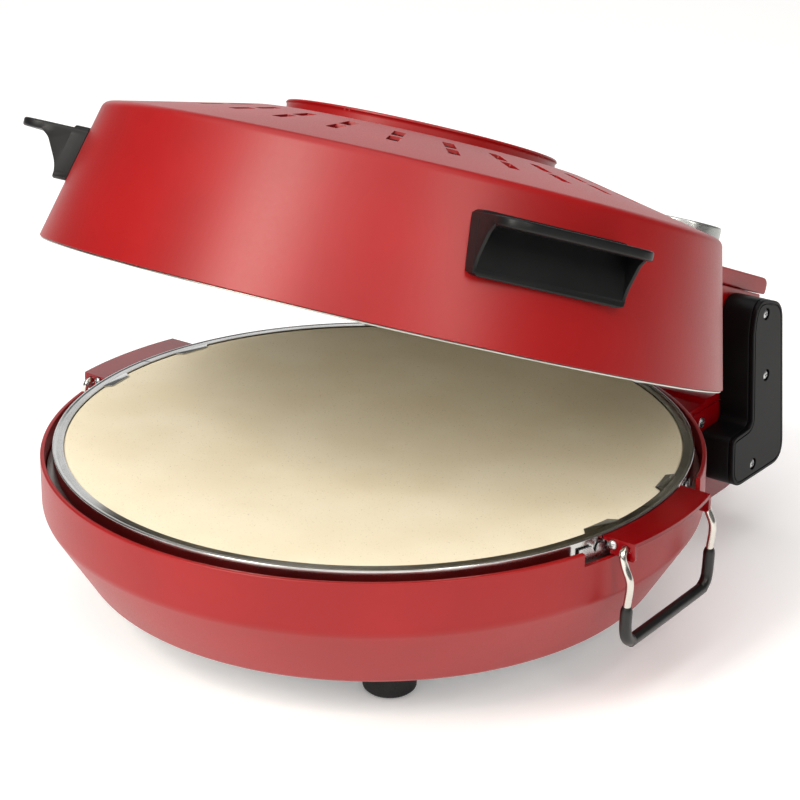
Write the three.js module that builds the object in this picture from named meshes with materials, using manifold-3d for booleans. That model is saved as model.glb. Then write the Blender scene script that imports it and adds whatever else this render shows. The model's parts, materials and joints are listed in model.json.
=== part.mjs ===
// Countertop pizza oven: a round base with a baking stone, and a domed heated lid on two hinge arms.
// Millimetres, +Z up, -Y is the front, +Y the hinge side. The lid is modelled held open.
import * as THREE from "three";
import { mergeVertices } from "three/addons/utils/BufferGeometryUtils.js";
import Module from "manifold-3d";

const wasm = await Module();
wasm.setup();

// ---- driving dimensions ----
const STEPS = 40; // facets round every large turned piece
const GAP = 0.3; // clearance between pieces that touch

const STONE_RADIUS = 155;
const STONE_TOP = 85.65;
const STONE_THICKNESS = 11;

const RING_RADIUS = 160.3;
const RING_TURN = 1; // degrees, the seams stand a little off the bail brackets' middle
const RING_TAB_START = 7.4;
const RING_TAB_SWEEP = 7.6;

const RIM_RADIUS = 166.4;
const RIM_TOP = 83.65;
const RIM_LIP = 2.2;
const CREASE_RADIUS = 166.55;
const CREASE_HEIGHT = 58.8;
const BOTTOM_RADIUS = 145.7;
const BOTTOM_HEIGHT = 24.65;
const SHEET = 1.5;

const FOOT_RADIUS = 12.7;
const FOOT_CIRCLE = 105.6;
const FOOT_AZIMUTHS = { front_right: -47.7, front_left: -132.3, rear_right: 47.7, rear_left: 132.3 };

const LID_TILT = THREE.MathUtils.degToRad(21.09);
const LID_ORIGIN = [0, 6.04, 147.29];
const LID_RADIUS = 172;
const LID_SHOULDER_RADIUS = 156.1;
const LID_SHOULDER_HEIGHT = 70.3;
const LID_PLATEAU_RADIUS = 83.4;
const LID_PLATEAU_HEIGHT = 85.9;
const STAND_RING_RADIUS = 68.9;
const STAND_RING_TOP = 91.8;

const VENT_COUNT = 27;
const VENT_START = THREE.MathUtils.degToRad(-60);
const VENT_CIRCLES = [115.5, 100.5];
const VENT_LENGTH = 12;
const VENT_WIDTH = 5.6;

const KNOB_AZIMUTH = THREE.MathUtils.degToRad(28);
const KNOB_DISTANCE = 136;
const KNOB_RADIUS = 18.5;
const KNOB_TOP = 76.5;
const POCKET_RADIUS = 20.3;
const POCKET_FLOOR = 68.5;

const HANDLE_AZIMUTH = -31.6;
const HANDLE_REACH = 191.5;
const HANDLE_HALF_WIDTH = 37;

const ARM_INNER = 110.7;
const ARM_OUTER = 130;
const ARM_WALL = 2.5;
const COVER_THICKNESS = 2.4;
const HINGE_HALF_WIDTH = 109.8;
const LOWER_PIVOT = [163.4, 45.6]; // y, z
const UPPER_PIVOT_LID = [158.6, 41.3]; // y, z in the lid's own frame
const PIVOT_RADIUS = 3.2;
const PIVOT_HEAD_RADIUS = 4.5;

const BRACKET_TOP = 86;
const BRACKET_SHEET = 1.9;
const BRACKET_OUTER = 176.3;
const BRACKET_INNER = 160.8;
const TAB_Y = 33.3;
const BAIL_X = 168.7;
const BAIL_Z = 82.3;
const WIRE_RADIUS = 1.8;
const GRIP_RADIUS = 2.8;

const CENTRE_Y = 21.14; // middle of the whole object's depth, which becomes the origin

const tilt = { c: Math.cos(LID_TILT), s: Math.sin(LID_TILT) };
const UPPER_PIVOT = [
  LID_ORIGIN[1] + UPPER_PIVOT_LID[0] * tilt.c + UPPER_PIVOT_LID[1] * tilt.s,
  LID_ORIGIN[2] - UPPER_PIVOT_LID[0] * tilt.s + UPPER_PIVOT_LID[1] * tilt.c,
];

// ---- materials ----
const paint = (colour, roughness, metalness) =>
  new THREE.MeshStandardMaterial({ color: colour, roughness, metalness });
const redPaint = paint(0xb51d24, 0.42, 0.15);
const glossRed = paint(0x7a0008, 0.25, 0.2);
const blackPlastic = paint(0x1c1c1d, 0.6, 0);
const rubber = paint(0x121212, 0.85, 0);
const steel = paint(0xb9bcc0, 0.3, 0.9);
const chrome = paint(0xd8dadd, 0.12, 1);
const aluminised = paint(0xa9abad, 0.4, 0.8);
const stone = paint(0xe0d6bb, 0.95, 0);
const element = paint(0x4a4642, 0.6, 0.6);
const ceramic = paint(0xe8e4da, 0.6, 0);

// ---- shape helpers ----

// The geometry with shared corners merged and empty triangles dropped.
function weld(geometry) {
  const bare = geometry.index ? geometry.toNonIndexed() : geometry.clone();
  bare.deleteAttribute("normal");
  bare.deleteAttribute("uv");
  const merged = mergeVertices(bare, 1e-3);
  const index = merged.index.array;
  const kept = [];
  for (let i = 0; i < index.length; i += 3) {
    const [a, b, c] = [index[i], index[i + 1], index[i + 2]];
    if (a !== b && b !== c && a !== c) kept.push(a, b, c);
  }
  merged.setIndex(kept);
  return merged;
}

// A manifold solid of a closed geometry, its faces turned outwards.
function solid(geometry) {
  const welded = weld(geometry);
  const corners = welded.attributes.position.array;
  const faces = new Uint32Array(welded.index.array);
  const body = new wasm.Manifold(new wasm.Mesh({ numProp: 3, vertProperties: corners, triVerts: faces }));
  if (body.volume() > 0) return body;
  for (let i = 0; i < faces.length; i += 3) {
    [faces[i + 1], faces[i + 2]] = [faces[i + 2], faces[i + 1]];
  }
  return new wasm.Manifold(new wasm.Mesh({ numProp: 3, vertProperties: corners, triVerts: faces }));
}

function geometryOf(body) {
  const mesh = body.getMesh();
  const geometry = new THREE.BufferGeometry();
  geometry.setAttribute("position", new THREE.BufferAttribute(mesh.vertProperties, 3));
  geometry.setIndex(new THREE.BufferAttribute(mesh.triVerts, 1));
  geometry.computeVertexNormals();
  return geometry;
}

// A solid turned about Z from a profile of [radius, height] points.
function turned(profile, steps = STEPS) {
  const points = profile.map(([r, z]) => new THREE.Vector2(r, z));
  const onAxis = profile[0][0] === 0 && profile.at(-1)[0] === 0;
  if (!onAxis) points.push(points[0].clone());
  return solid(new THREE.LatheGeometry(points, steps).rotateX(Math.PI / 2));
}

// A closed outline through [u, v, corner radius] points, each corner rounded by its radius.
function rounded(points, curveSteps = 3) {
  const shape = new THREE.Shape();
  points.forEach(([u, v, r = 0], i) => {
    const [pu, pv] = points.at(i - 1);
    const [nu, nv] = points[(i + 1) % points.length];
    const back = new THREE.Vector2(pu - u, pv - v).normalize().multiplyScalar(r);
    const on = new THREE.Vector2(nu - u, nv - v).normalize().multiplyScalar(r);
    const first = i === 0 ? "moveTo" : "lineTo";
    shape[first](u + back.x, v + back.y);
    if (r > 0) {
      const curve = new THREE.QuadraticBezierCurve(
        new THREE.Vector2(u + back.x, v + back.y),
        new THREE.Vector2(u, v),
        new THREE.Vector2(u + on.x, v + on.y),
      );
      curve.getPoints(curveSteps).slice(1).forEach((p) => shape.lineTo(p.x, p.y));
    }
  });
  return shape;
}

// The same points moved inwards by a wall thickness, for the hollow inside an outline.
function inset(points, wall) {
  const edges = points.map(([u, v], i) => {
    const [nu, nv] = points[(i + 1) % points.length];
    const along = new THREE.Vector2(nu - u, nv - v).normalize();
    return { at: new THREE.Vector2(u - along.y * wall, v + along.x * wall), along };
  });
  return points.map(([, , r = 0], i) => {
    const a = edges.at(i - 1);
    const b = edges[i];
    const turn = a.along.cross(b.along);
    const t = b.at.clone().sub(a.at).cross(b.along) / turn;
    const corner = a.at.clone().addScaledVector(a.along, t);
    return [corner.x, corner.y, Math.max(0, r - Math.sign(turn) * wall * 0.8)];
  });
}

function alongZ(shape, z0, z1, curveSegments = 12) {
  const settings = { depth: z1 - z0, bevelEnabled: false, curveSegments };
  return solid(new THREE.ExtrudeGeometry(shape, settings).translate(0, 0, z0));
}

// A shape drawn in Y and Z, given thickness from x0 to x1.
function alongX(shape, x0, x1) {
  const axes = new THREE.Matrix4().makeBasis(
    new THREE.Vector3(0, 1, 0),
    new THREE.Vector3(0, 0, 1),
    new THREE.Vector3(1, 0, 0),
  );
  const settings = { depth: x1 - x0, bevelEnabled: false };
  return solid(new THREE.ExtrudeGeometry(shape, settings).applyMatrix4(axes).translate(x0, 0, 0));
}

function block(x0, x1, y0, y1, z0, z1) {
  const box = new THREE.BoxGeometry(x1 - x0, y1 - y0, z1 - z0);
  return solid(box.translate((x0 + x1) / 2, (y0 + y1) / 2, (z0 + z1) / 2));
}

function discZ(x, y, z0, z1, radius, steps = 12) {
  const disc = new THREE.CylinderGeometry(radius, radius, z1 - z0, steps);
  return solid(disc.rotateX(Math.PI / 2).translate(x, y, (z0 + z1) / 2));
}

function discX(x0, x1, y, z, radius, steps = 10) {
  const disc = new THREE.CylinderGeometry(radius, radius, x1 - x0, steps);
  return solid(disc.rotateZ(Math.PI / 2).translate((x0 + x1) / 2, y, z));
}

function discY(x, y0, y1, z, radius, steps = 10) {
  const disc = new THREE.CylinderGeometry(radius, radius, y1 - y0, steps);
  return solid(disc.translate(x, (y0 + y1) / 2, z));
}

// A sector of a flat ring between two radii and two azimuths in degrees.
function band(inner, outer, from, to, z0, z1, curveSegments = 12) {
  const [a, b] = [THREE.MathUtils.degToRad(from), THREE.MathUtils.degToRad(to)];
  const shape = new THREE.Shape();
  shape.absarc(0, 0, outer, a, b, false);
  shape.absarc(0, 0, inner, b, a, true);
  return alongZ(shape, z0, z1, curveSegments);
}

// A bar of round section along a curve, hollow when it has an inner radius.
function bar(curve, radius, steps, sides = 6, innerRadius = 0) {
  const circle = (r) => {
    const corners = [];
    for (let i = 0; i < sides; i += 1) {
      const a = (i / sides) * 2 * Math.PI;
      corners.push(new THREE.Vector2(r * Math.cos(a), r * Math.sin(a)));
    }
    return corners;
  };
  const section = new THREE.Shape(circle(radius));
  if (innerRadius > 0) section.holes.push(new THREE.Path(circle(innerRadius)));
  return solid(new THREE.ExtrudeGeometry(section, { steps, extrudePath: curve }));
}

function mirrored(body) {
  return body.mirror([1, 0, 0]);
}

const oven = new THREE.Group();
const lid = new THREE.Group();
lid.position.set(...LID_ORIGIN);
lid.rotation.x = -LID_TILT;
oven.add(lid);

function add(name, body, material, parent = oven) {
  const mesh = new THREE.Mesh(geometryOf(body), material);
  mesh.name = name;
  parent.add(mesh);
}

function addPair(name, body, material, parent = oven) {
  add(name + "_right", body, material, parent);
  add(name + "_left", mirrored(body), material, parent);
}

// ---- base ----

// Everything inside the base's outer surface, grown by a clearance.
function baseEnvelope(clearance) {
  return turned([
    [0, 0],
    [BOTTOM_RADIUS + clearance, 0],
    [BOTTOM_RADIUS + clearance, BOTTOM_HEIGHT],
    [CREASE_RADIUS + clearance, CREASE_HEIGHT],
    [RIM_RADIUS + clearance, 200],
    [0, 200],
  ]);
}

function baseShell() {
  const shell = turned([
    [134, BOTTOM_HEIGHT],
    [BOTTOM_RADIUS, BOTTOM_HEIGHT],
    [CREASE_RADIUS, CREASE_HEIGHT],
    [RIM_RADIUS, RIM_TOP - 1.1],
    [RIM_RADIUS - 0.8, RIM_TOP],
    [RIM_RADIUS - RIM_LIP, RIM_TOP],
    [RIM_RADIUS - RIM_LIP, CREASE_HEIGHT + 0.6],
    [BOTTOM_RADIUS - 1.1, BOTTOM_HEIGHT + SHEET],
    [134, BOTTOM_HEIGHT + SHEET],
  ]);
  const notches = [-18, 10.8, 162, -169.2].map((from) => band(162, 169, from, from + 7.2, 77.4, 90, 3));
  const wiring = block(-24, 24, 140, 175, 36, 52);
  return notches.reduce((body, notch) => body.subtract(notch), shell).subtract(wiring);
}

add("base_shell", baseShell(), redPaint);
add("bottom_plate", turned([[0, 22.4], [138, 22.4], [138, 24.3], [0, 24.3]]), steel);

for (const [corner, azimuth] of Object.entries(FOOT_AZIMUTHS)) {
  const a = THREE.MathUtils.degToRad(azimuth);
  const foot = turned([[0, 0], [FOOT_RADIUS - 1, 0], [FOOT_RADIUS, 1.2], [FOOT_RADIUS, 22.1], [0, 22.1]], 16);
  add("foot_" + corner, foot.translate([FOOT_CIRCLE * Math.cos(a), FOOT_CIRCLE * Math.sin(a), 0]), rubber);
}

const PAN_FLOOR = 44;
const STONE_BOTTOM = STONE_TOP - STONE_THICKNESS;

function heaterLoop(radius, height, drop, steps) {
  const points = [];
  const open = 0.14;
  points.push(new THREE.Vector3(12, radius - 1, height + drop));
  points.push(new THREE.Vector3(13, radius - 0.5, height + drop * 0.4));
  for (let i = 0; i <= 16; i += 1) {
    const a = Math.PI / 2 - open - (i / 16) * (2 * Math.PI - 2 * open);
    points.push(new THREE.Vector3(radius * Math.cos(a), radius * Math.sin(a), height));
  }
  points.push(new THREE.Vector3(-13, radius - 0.5, height + drop * 0.4));
  points.push(new THREE.Vector3(-12, radius - 1, height + drop));
  return bar(new THREE.CatmullRomCurve3(points), 3.2, steps);
}

const legHoles = (radius, z0, z1) =>
  discZ(12.4, radius - 1, z0, z1, 5).add(discZ(-12.4, radius - 1, z0, z1, 5));

function basePan() {
  const pan = turned([
    [0, PAN_FLOOR],
    [141.2, PAN_FLOOR],
    [141.2, STONE_BOTTOM - GAP - 1.2],
    [163.6, STONE_BOTTOM - GAP - 1.2],
    [163.6, STONE_BOTTOM - GAP],
    [140, STONE_BOTTOM - GAP],
    [140, PAN_FLOOR + 1.2],
    [0, PAN_FLOOR + 1.2],
  ]);
  return pan.subtract(legHoles(105, 40, 50));
}

add("base_liner", basePan(), aluminised);
add("lower_element", heaterLoop(105, 57, -13, 46), element);
add("lower_element_block", block(-22, 22, 97, 111, 33, 42.9), ceramic);
add("thermal_cutout", discZ(40, -20, 38, PAN_FLOOR - GAP, 9), steel);

function stoneDisc() {
  return turned([
    [0, STONE_BOTTOM],
    [STONE_RADIUS - 1, STONE_BOTTOM],
    [STONE_RADIUS, STONE_BOTTOM + 1],
    [STONE_RADIUS, STONE_TOP - 1],
    [STONE_RADIUS - 1, STONE_TOP],
    [0, STONE_TOP],
  ]);
}

add("pizza_stone", stoneDisc(), stone);

// Half of the ring that holds the stone: an upright band with a flange over the stone's edge, and a
// tab near each end that reaches further in.
function stoneRing() {
  const [seam, top] = [0.15, STONE_TOP + GAP + 0.7];
  const upright = band(158.9, RING_RADIUS, 180 + seam, 360 - seam, STONE_BOTTOM + GAP, top, 20);
  const flange = band(154.7, 159.5, 180 + seam, 360 - seam, STONE_TOP + GAP, top, 20);
  const tab = (from) => band(150.9, 155.5, from, from + RING_TAB_SWEEP, STONE_TOP + GAP, top, 3);
  const last = 360 - RING_TAB_START - RING_TAB_SWEEP;
  return upright.add(flange).add(tab(180 + RING_TAB_START)).add(tab(last));
}

// The rear half is lower behind the stone, where the back edge of the lid comes down.
const ringDip = band(150, 170, 65, 115, 84.8, 90, 5);

add("stone_ring_front", stoneRing().rotate([0, 0, RING_TURN]), chrome);
add("stone_ring_rear", stoneRing().rotate([0, 0, 180 + RING_TURN]).subtract(ringDip), chrome);

// ---- hinge housing behind the base ----

const HOUSING_TOP = 78;
const BARREL_RADIUS = 37.2; // the rear of the housing is round about the lower pivot

function barrelPoint(degrees, radius) {
  const a = THREE.MathUtils.degToRad(degrees);
  return [LOWER_PIVOT[0] + radius * Math.cos(a), LOWER_PIVOT[1] + radius * Math.sin(a)];
}

function housingOutline(radius, floor, top) {
  const start = THREE.MathUtils.radToDeg(Math.asin((top - LOWER_PIVOT[1]) / radius));
  const points = [[98, floor], [184, floor, 12], [...barrelPoint(-12, radius), 6]];
  for (let i = 0; i <= 6; i += 1) points.push(barrelPoint((start * i) / 6, radius));
  points.push([98, top]);
  return rounded(points);
}

function hingeHousing() {
  const outer = alongX(housingOutline(36.6, 22.2, HOUSING_TOP), -HINGE_HALF_WIDTH, HINGE_HALF_WIDTH);
  const half = HINGE_HALF_WIDTH - ARM_WALL;
  const hollow = alongX(housingOutline(34.1, 24.7, HOUSING_TOP + 1), -half, half);
  const bores = discX(-200, 200, ...LOWER_PIVOT, PIVOT_RADIUS + GAP);
  const floorHole = discZ(88, 158, 10, 40, 4.3);
  return outer.subtract(hollow).subtract(bores).subtract(floorHole).subtract(baseEnvelope(GAP));
}

function housingCover() {
  const points = [[98, HOUSING_TOP + GAP], [98, 81.4], [143, 81.4], [145.2, 83], [163.4, 83]];
  const end = THREE.MathUtils.radToDeg(Math.asin((HOUSING_TOP + GAP - LOWER_PIVOT[1]) / BARREL_RADIUS));
  for (let i = 1; i <= 4; i += 1) points.push(barrelPoint(90 - ((90 - end) * i) / 4, BARREL_RADIUS));
  const plate = alongX(rounded(points.reverse()), -HINGE_HALF_WIDTH, HINGE_HALF_WIDTH);
  return plate.subtract(baseEnvelope(GAP));
}

add("hinge_housing", hingeHousing(), glossRed);
add("housing_cover", housingCover(), glossRed);
addPair("housing_screw", discX(HINGE_HALF_WIDTH + 0.05, HINGE_HALF_WIDTH + 0.75, 141, 71.3, 3, 10), steel);
add("cord_gland", discZ(88, 158, 12, 21.9, 6.5, 12).add(discZ(88, 158, 21, 30, 3.9, 12)), rubber);
add("terminal_block", block(-20, 20, 161, 174, 25.2, 36), ceramic);

// Stepped pin with its head inside the arm.
function pivotPin([y, z]) {
  return discX(104.5, ARM_INNER + ARM_WALL + 1.8, y, z, PIVOT_RADIUS)
    .add(discX(ARM_INNER + ARM_WALL + 1.7, ARM_INNER + ARM_WALL + 5, y, z, PIVOT_HEAD_RADIUS));
}

function frictionWasher([y, z]) {
  const x = ARM_INNER + ARM_WALL + GAP;
  return discX(x, x + 1.1, y, z, PIVOT_HEAD_RADIUS).subtract(discX(x - 1, x + 3, y, z, PIVOT_RADIUS + GAP));
}

addPair("lower_pivot", pivotPin(LOWER_PIVOT), steel);
addPair("lower_washer", frictionWasher(LOWER_PIVOT), steel);

// ---- bail brackets and bails ----

function bailBracket() {
  const plateShape = rounded([
    [Math.sqrt(BRACKET_INNER ** 2 - 34.6 ** 2), -34.6],
    [Math.sqrt(BRACKET_OUTER ** 2 - TAB_Y ** 2) - 0.6, -TAB_Y - 1, 1],
    [250, -20],
    [250, 20],
    [Math.sqrt(BRACKET_OUTER ** 2 - TAB_Y ** 2) - 0.6, TAB_Y + 1, 1],
    [Math.sqrt(BRACKET_INNER ** 2 - 34.6 ** 2), 34.6],
  ]);
  const sector = band(BRACKET_INNER, BRACKET_OUTER, -20, 20, BRACKET_TOP - BRACKET_SHEET, BRACKET_TOP, 8);
  const plate = alongZ(plateShape, BRACKET_TOP - BRACKET_SHEET, BRACKET_TOP).intersect(sector);
  const tabShape = rounded([
    [160.6, 78.2, 1],
    [166.8, 78.2, 1],
    [166.8, 77.2, 1],
    [173.4, 77.2, 2],
    [173.2, BRACKET_TOP - 1],
    [160.6, BRACKET_TOP - 1],
  ]);
  const upright = new THREE.Matrix4().makeBasis(
    new THREE.Vector3(1, 0, 0),
    new THREE.Vector3(0, 0, 1),
    new THREE.Vector3(0, -1, 0),
  );
  const tabBody = new THREE.ExtrudeGeometry(tabShape, { depth: BRACKET_SHEET, bevelEnabled: false });
  const tab = solid(tabBody.applyMatrix4(upright).translate(0, -TAB_Y + 1, 0));
  const hole = discY(BAIL_X, -40, -30, BAIL_Z, WIRE_RADIUS + 0.4);
  const end = tab.subtract(hole);
  return plate.subtract(hole).subtract(hole.mirror([0, 1, 0])).add(end).add(end.mirror([0, 1, 0]));
}

function bailCurve(reach = 1) {
  const half = [
    [BAIL_X, 30.6, BAIL_Z],
    [BAIL_X, 35, BAIL_Z],
    [169, 37.3, 80.4],
    [170.5, 37.5, 75.5],
    [173.2, 37.5, 68.5],
    [172.2, 37.5, 57],
    [171.8, 37.5, 47.5],
    [171.8, 36.2, 41.6],
    [171.8, 32.6, 38.6],
    [171.8, 27, 38],
  ].slice(reach);
  const points = half.map((p) => new THREE.Vector3(...p));
  const others = half.map(([x, y, z]) => new THREE.Vector3(x, -y, z)).reverse();
  return new THREE.CatmullRomCurve3([...points, ...others], false, "centripetal");
}

addPair("bail_bracket", bailBracket(), glossRed);
addPair("bracket_screw", discY(162.2, -TAB_Y - 3.1, -TAB_Y - 1.6, 83.2, 2.1, 10), steel);
addPair("bail_wire", bar(bailCurve(0), WIRE_RADIUS, 46), chrome);
addPair("bail_grip", bar(bailCurve(5), GRIP_RADIUS, 24, 6, WIRE_RADIUS + 0.6), blackPlastic);

// ---- hinge arms ----

// Side view of an arm, anticlockwise from the lower front corner.
const ARM_OUTLINE = [
  [140.8, 38, 11],
  [199.2, 37.2, 13],
  [187.2, 130.6, 9],
  [157.2, 140.8, 15],
  [155.3, 120],
  [160.1, 68, 5],
  [138.9, 67, 5],
];

function armShell() {
  const body = alongX(rounded(ARM_OUTLINE), ARM_INNER, ARM_OUTER - COVER_THICKNESS - GAP);
  const hollow = alongX(rounded(inset(ARM_OUTLINE, ARM_WALL)), ARM_INNER + ARM_WALL, ARM_OUTER);
  const bore = (pivot) => discX(100, 120, ...pivot, PIVOT_RADIUS + GAP);
  return body.subtract(hollow).subtract(bore(LOWER_PIVOT)).subtract(bore(UPPER_PIVOT));
}

const COVER_SCREWS = { top: [168.9, 128.7], mid: [172.9, 93.4], bottom: [163.4, 45.6] };

function armCover() {
  let cover = alongX(rounded(ARM_OUTLINE), ARM_OUTER - COVER_THICKNESS, ARM_OUTER);
  for (const place of Object.values(COVER_SCREWS)) {
    cover = cover.subtract(discX(ARM_OUTER - 1.6, ARM_OUTER + 1, ...place, 3.4, 12));
  }
  return cover;
}

addPair("arm_shell", armShell(), blackPlastic);
addPair("arm_cover", armCover(), blackPlastic);
for (const [place, centre] of Object.entries(COVER_SCREWS)) {
  addPair("arm_screw_" + place, discX(ARM_OUTER - 1.3, ARM_OUTER - 0.2, ...centre, 2.5, 10), steel);
}
addPair("upper_pivot", pivotPin(UPPER_PIVOT), steel);
addPair("upper_washer", frictionWasher(UPPER_PIVOT), steel);
add("arm_lead", block(118.5, 122.5, 168, 172, 60, 112), rubber);

// ---- lid, in its own frame ----

const wallRadius = (z) => LID_RADIUS - ((LID_RADIUS - LID_SHOULDER_RADIUS) * z) / LID_SHOULDER_HEIGHT;

// Profile of the lid's outer surface from the edge to the middle, moved outwards by a clearance.
function lidProfile(offset) {
  return [
    [LID_RADIUS + offset, 0],
    [wallRadius(67) + offset, 67],
    [LID_SHOULDER_RADIUS - 0.6 + offset * 0.8, 69.5 + offset * 0.5],
    [LID_SHOULDER_RADIUS - 3.1 + offset * 0.4, 70.8 + offset],
    [LID_PLATEAU_RADIUS, LID_PLATEAU_HEIGHT + offset],
    [0, LID_PLATEAU_HEIGHT + offset],
  ];
}

function lidEnvelope(offset) {
  const profile = lidProfile(offset);
  return turned([[0, -30], [LID_RADIUS + offset, -30], ...profile]);
}

const knobPlace = [KNOB_DISTANCE * Math.cos(KNOB_AZIMUTH), KNOB_DISTANCE * Math.sin(KNOB_AZIMUTH)];

// Cutters for the two circles of radial slots, all but those too near the knob's pocket.
function vents() {
  const cutters = [];
  for (let i = 0; i < VENT_COUNT; i += 1) {
    const azimuth = VENT_START + (i * 2 * Math.PI) / VENT_COUNT;
    for (const radius of VENT_CIRCLES) {
      const x = radius * Math.cos(azimuth);
      const y = radius * Math.sin(azimuth);
      if (Math.hypot(x - knobPlace[0], y - knobPlace[1]) < POCKET_RADIUS + 10) continue;
      const slot = new THREE.BoxGeometry(VENT_LENGTH, VENT_WIDTH, 30).rotateZ(azimuth).translate(x, y, 80);
      cutters.push(solid(slot));
    }
  }
  return cutters;
}

function lidShell() {
  const outer = lidProfile(0);
  const inner = lidProfile(-SHEET).reverse();
  let shell = turned([...outer, ...inner]);
  shell = vents().reduce((body, slot) => body.subtract(slot), shell);
  const cupBlank = discZ(...knobPlace, POCKET_FLOOR - SHEET, 90, POCKET_RADIUS + SHEET, 20);
  const cup = cupBlank.intersect(lidEnvelope(0));
  const pocket = discZ(...knobPlace, POCKET_FLOOR, 95, POCKET_RADIUS, 20);
  const shaftHole = discZ(...knobPlace, 60, 75, 3.6, 12);
  const wiring = block(-22, 22, 150, 175, 26, 42);
  return shell.add(cup).subtract(pocket).subtract(shaftHole).subtract(wiring);
}

add("lid_shell", lidShell(), redPaint, lid);

const ringSeat = LID_PLATEAU_HEIGHT + GAP;
const standRing = [
  [STAND_RING_RADIUS - 7, ringSeat],
  [STAND_RING_RADIUS, ringSeat],
  [STAND_RING_RADIUS, STAND_RING_TOP - 1],
  [STAND_RING_RADIUS - 1, STAND_RING_TOP],
  [STAND_RING_RADIUS - 6, STAND_RING_TOP],
  [STAND_RING_RADIUS - 7, STAND_RING_TOP - 1],
];
add("stand_ring", turned(standRing), redPaint, lid);

const CEILING = 55.3;

function lidLiner() {
  const liner = turned([
    [0, CEILING],
    [149.2, CEILING],
    [159.2, 39.6],
    [168.2, -1],
    [171.2, -1],
    [171.2, -GAP],
    [169.2, -GAP],
    [160.2, 40],
    [149.8, CEILING + 1],
    [0, CEILING + 1],
  ]);
  return liner.subtract(legHoles(130, 50, 60));
}

add("lid_liner", lidLiner(), aluminised, lid);
add("upper_element", heaterLoop(130, 45, 11, 46), element, lid);
add("upper_element_block", block(-22, 22, 122, 136, CEILING + 1.6, CEILING + 10), ceramic, lid);

function thermostat() {
  const body = discZ(...knobPlace, CEILING + 1.7, POCKET_FLOOR - SHEET - 0.5, 12);
  return body.add(discZ(...knobPlace, 62, 72.4, 3, 12));
}
add("thermostat", thermostat(), steel, lid);

function controlKnob() {
  const floor = POCKET_FLOOR + 0.4;
  const knob = turned([
    [0, floor],
    [KNOB_RADIUS, floor],
    [KNOB_RADIUS, KNOB_TOP - 0.6],
    [KNOB_RADIUS - 0.8, KNOB_TOP],
    [0, KNOB_TOP],
  ], 20);
  const bore = discZ(0, 0, floor - 2, 72.8, 3.4, 12);
  return knob.subtract(bore).translate([...knobPlace, 0]);
}
add("control_knob", controlKnob(), aluminised, lid);

// Box on the back of the lid, between the arms, and the cap over it.
function hingeBox() {
  const outline = [[100, 18], [183, 18, 6], [189.4, 26, 4], [189.4, 51.2], [100, 51.2]];
  const outer = alongX(rounded(outline), -HINGE_HALF_WIDTH, HINGE_HALF_WIDTH);
  const half = HINGE_HALF_WIDTH - ARM_WALL;
  const hollow = block(-half, half, 60, 186.6, 21, 80);
  const bores = discX(-200, 200, ...UPPER_PIVOT_LID, PIVOT_RADIUS + GAP);
  return outer.subtract(hollow).subtract(bores).subtract(lidEnvelope(GAP));
}

function hingeCap() {
  const outline = [[100, 51.5], [195, 51.5, 1.5], [196, 60.6, 6], [100, 60.6]];
  const slab = alongX(rounded(outline), -HINGE_HALF_WIDTH, HINGE_HALF_WIDTH);
  return slab.subtract(lidEnvelope(GAP));
}

add("lid_hinge_box", hingeBox(), redPaint, lid);
add("lid_hinge_cap", hingeCap(), redPaint, lid);

// Shelf handle with a finger hollow under it, drawn at the +Y side and turned to its azimuth.
function handle() {
  const profile = rounded([
    [150, 56.2],
    [150, 28.1],
    [168.2, 28.1, 1],
    [169, 30],
    [168, 36.3],
    [174.6, 47],
    [HANDLE_REACH, 50.6, 1],
    [HANDLE_REACH, 54.2, 1.5],
    [164, 55],
    [161.2, 56.2],
  ]);
  const body = alongX(profile, -HANDLE_HALF_WIDTH, HANDLE_HALF_WIDTH);
  const plan = rounded([
    [-HANDLE_HALF_WIDTH, 140],
    [HANDLE_HALF_WIDTH, 140],
    [HANDLE_HALF_WIDTH, 170],
    [HANDLE_HALF_WIDTH - 1, HANDLE_REACH, 7],
    [-HANDLE_HALF_WIDTH + 1, HANDLE_REACH, 7],
    [-HANDLE_HALF_WIDTH, 170],
  ]);
  const hollow = alongX(rounded([[170.2, 20], [200, 20], [200, 50.4], [163.8, 50]]), -33.5, 33.5);
  const turn = HANDLE_AZIMUTH - 90;
  return body.intersect(alongZ(plan, 0, 80)).subtract(hollow).rotate([0, 0, turn]).subtract(lidEnvelope(GAP));
}

addPair("handle", handle(), blackPlastic, lid);

oven.position.y = -CENTRE_Y;

export default oven;
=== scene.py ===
import json
import math

import bmesh
import bpy
import numpy as np
from mathutils import Matrix, Vector


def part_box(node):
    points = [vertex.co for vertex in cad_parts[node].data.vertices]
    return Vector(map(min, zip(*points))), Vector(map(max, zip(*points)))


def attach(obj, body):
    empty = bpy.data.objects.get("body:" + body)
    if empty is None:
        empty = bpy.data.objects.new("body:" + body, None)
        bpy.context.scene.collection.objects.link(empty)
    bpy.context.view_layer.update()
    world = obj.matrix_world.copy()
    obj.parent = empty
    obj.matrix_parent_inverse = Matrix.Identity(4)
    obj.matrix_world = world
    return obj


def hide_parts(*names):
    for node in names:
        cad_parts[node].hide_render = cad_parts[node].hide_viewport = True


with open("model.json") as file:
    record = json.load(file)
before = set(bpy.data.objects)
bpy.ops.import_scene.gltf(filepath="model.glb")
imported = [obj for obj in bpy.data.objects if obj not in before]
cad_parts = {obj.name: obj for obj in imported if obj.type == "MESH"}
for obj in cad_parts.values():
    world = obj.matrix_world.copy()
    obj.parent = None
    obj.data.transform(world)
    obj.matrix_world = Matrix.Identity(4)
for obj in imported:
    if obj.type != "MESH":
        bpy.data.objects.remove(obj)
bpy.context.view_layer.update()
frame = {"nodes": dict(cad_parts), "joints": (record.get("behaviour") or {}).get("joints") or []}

MM = 0.001
TAU = 2 * math.pi

# ---- frames ----

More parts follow.
